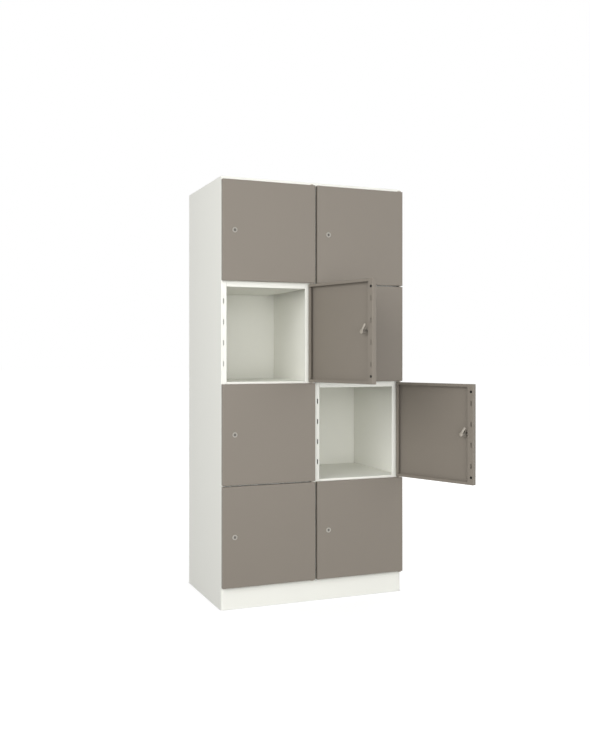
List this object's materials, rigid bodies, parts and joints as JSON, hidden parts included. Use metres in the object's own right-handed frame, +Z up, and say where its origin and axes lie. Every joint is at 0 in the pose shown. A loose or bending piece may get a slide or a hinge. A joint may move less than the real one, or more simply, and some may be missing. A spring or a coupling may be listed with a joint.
{
  "type": "compartment locker",
  "caption": "Free-standing steel locker: folded sheet carcass on a plinth, square hinged doors over separate compartments, pin hinges and turning cam locks.",
  "frame": {"origin": "on the floor, in the middle of the body's footprint", "axes": "+X to the right seen from the front, +Y to the back, +Z up"},
  "size_m": [0.9826, 0.9079, 1.8],
  "materials": {
    "white_paint": "matt powder coat",
    "taupe_paint": "matt powder coat",
    "lock_nickel": "satin nickel",
    "zinc_plate": "bright zinc",
    "buffer_rubber": "matt"
  },
  "bodies": {
    "carcass": {"left_side_panel": "white_paint", "right_side_panel": "white_paint", "centre_post": "white_paint", "centre_partition": "white_paint", "back_panel": "white_paint", "top_panel": "white_paint", "bottom_panel": "white_paint", "plinth": "white_paint", "shelf_left_1": "white_paint", "shelf_left_2": "white_paint", "shelf_left_3": "white_paint", "shelf_right_1": "white_paint", "shelf_right_2": "white_paint", "shelf_right_3": "white_paint", "hinge_brackets": "zinc_plate", "hinge_pins": "zinc_plate"},
    "leaf_left_1": {"door_left_1": "taupe_paint", "door_buffers_left_1": "buffer_rubber", "lock_housing_left_1": "lock_nickel"},
    "core_left_1": {"lock_plug_left_1": "lock_nickel", "lock_cam_left_1": "zinc_plate"},
    "leaf_left_2": {"door_left_2": "taupe_paint", "door_buffers_left_2": "buffer_rubber", "lock_housing_left_2": "lock_nickel"},
    "core_left_2": {"lock_plug_left_2": "lock_nickel", "lock_cam_left_2": "zinc_plate"},
    "leaf_left_3": {"door_left_3": "taupe_paint", "door_buffers_left_3": "buffer_rubber", "lock_housing_left_3": "lock_nickel"},
    "core_left_3": {"lock_plug_left_3": "lock_nickel", "lock_cam_left_3": "zinc_plate"},
    "leaf_left_4": {"door_left_4": "taupe_paint", "door_buffers_left_4": "buffer_rubber", "lock_housing_left_4": "lock_nickel"},
    "core_left_4": {"lock_plug_left_4": "lock_nickel", "lock_cam_left_4": "zinc_plate"},
    "leaf_right_1": {"door_right_1": "taupe_paint", "door_buffers_right_1": "buffer_rubber", "lock_housing_right_1": "lock_nickel"},
    "core_right_1": {"lock_plug_right_1": "lock_nickel", "lock_cam_right_1": "zinc_plate"},
    "leaf_right_2": {"door_right_2": "taupe_paint", "door_buffers_right_2": "buffer_rubber", "lock_housing_right_2": "lock_nickel"},
    "core_right_2": {"lock_plug_right_2": "lock_nickel", "lock_cam_right_2": "zinc_plate"},
    "leaf_right_3": {"door_right_3": "taupe_paint", "door_buffers_right_3": "buffer_rubber", "lock_housing_right_3": "lock_nickel"},
    "core_right_3": {"lock_plug_right_3": "lock_nickel", "lock_cam_right_3": "zinc_plate"},
    "leaf_right_4": {"door_right_4": "taupe_paint", "door_buffers_right_4": "buffer_rubber", "lock_housing_right_4": "lock_nickel"},
    "core_right_4": {"lock_plug_right_4": "lock_nickel", "lock_cam_right_4": "zinc_plate"}
  },
  "joints": [
    {"name": "door_swing_left_1", "type": "hinge", "parent": "carcass", "child": "leaf_left_1", "pos_m": [-0.0175, -0.266, 1.57625], "axis": [0, 0, 1], "range_deg": [0, 130]},
    {"name": "lock_turn_left_1", "type": "hinge", "parent": "leaf_left_1", "child": "core_left_1", "pos_m": [-0.3675, -0.241, 1.57625], "axis": [0, -1, 0], "range_deg": [0, 90]},
    {"name": "door_swing_left_2", "type": "hinge", "parent": "carcass", "child": "leaf_left_2", "pos_m": [-0.0175, -0.266, 1.15175], "axis": [0, 0, 1], "range_deg": [-105, 25]},
    {"name": "lock_turn_left_2", "type": "hinge", "parent": "leaf_left_2", "child": "core_left_2", "pos_m": [0.04894, -0.61055, 1.15175], "axis": [0.9659, 0.2588, 0], "range_deg": [-35, 55]},
    {"name": "door_swing_left_3", "type": "hinge", "parent": "carcass", "child": "leaf_left_3", "pos_m": [-0.0175, -0.266, 0.72725], "axis": [0, 0, 1], "range_deg": [0, 130]},
    {"name": "lock_turn_left_3", "type": "hinge", "parent": "leaf_left_3", "child": "core_left_3", "pos_m": [-0.3675, -0.241, 0.72725], "axis": [0, -1, 0], "range_deg": [0, 90]},
    {"name": "door_swing_left_4", "type": "hinge", "parent": "carcass", "child": "leaf_left_4", "pos_m": [-0.0175, -0.266, 0.30275], "axis": [0, 0, 1], "range_deg": [0, 130]},
    {"name": "lock_turn_left_4", "type": "hinge", "parent": "leaf_left_4", "child": "core_left_4", "pos_m": [-0.3675, -0.241, 0.30275], "axis": [0, -1, 0], "range_deg": [0, 90]},
    {"name": "door_swing_right_1", "type": "hinge", "parent": "carcass", "child": "leaf_right_1", "pos_m": [0.407, -0.266, 1.57625], "axis": [0, 0, 1], "range_deg": [0, 130]},
    {"name": "lock_turn_right_1", "type": "hinge", "parent": "leaf_right_1", "child": "core_right_1", "pos_m": [0.057, -0.241, 1.57625], "axis": [0, -1, 0], "range_deg": [0, 90]},
    {"name": "door_swing_right_2", "type": "hinge", "parent": "carcass", "child": "leaf_right_2", "pos_m": [0.407, -0.266, 1.15175], "axis": [0, 0, 1], "range_deg": [0, 130]},
    {"name": "lock_turn_right_2", "type": "hinge", "parent": "leaf_right_2", "child": "core_right_2", "pos_m": [0.057, -0.241, 1.15175], "axis": [0, -1, 0], "range_deg": [0, 90]},
    {"name": "door_swing_right_3", "type": "hinge", "parent": "carcass", "child": "leaf_right_3", "pos_m": [0.407, -0.266, 0.72725], "axis": [0, 0, 1], "range_deg": [-112, 18]},
    {"name": "lock_turn_right_3", "type": "hinge", "parent": "leaf_right_3", "child": "core_right_3", "pos_m": [0.51493, -0.59988, 0.72725], "axis": [0.9272, 0.3746, 0], "range_deg": [-35, 55]},
    {"name": "door_swing_right_4", "type": "hinge", "parent": "carcass", "child": "leaf_right_4", "pos_m": [0.407, -0.266, 0.30275], "axis": [0, 0, 1], "range_deg": [0, 130]},
    {"name": "lock_turn_right_4", "type": "hinge", "parent": "leaf_right_4", "child": "core_right_4", "pos_m": [0.057, -0.241, 0.30275], "axis": [0, -1, 0], "range_deg": [0, 90]}
  ]
}
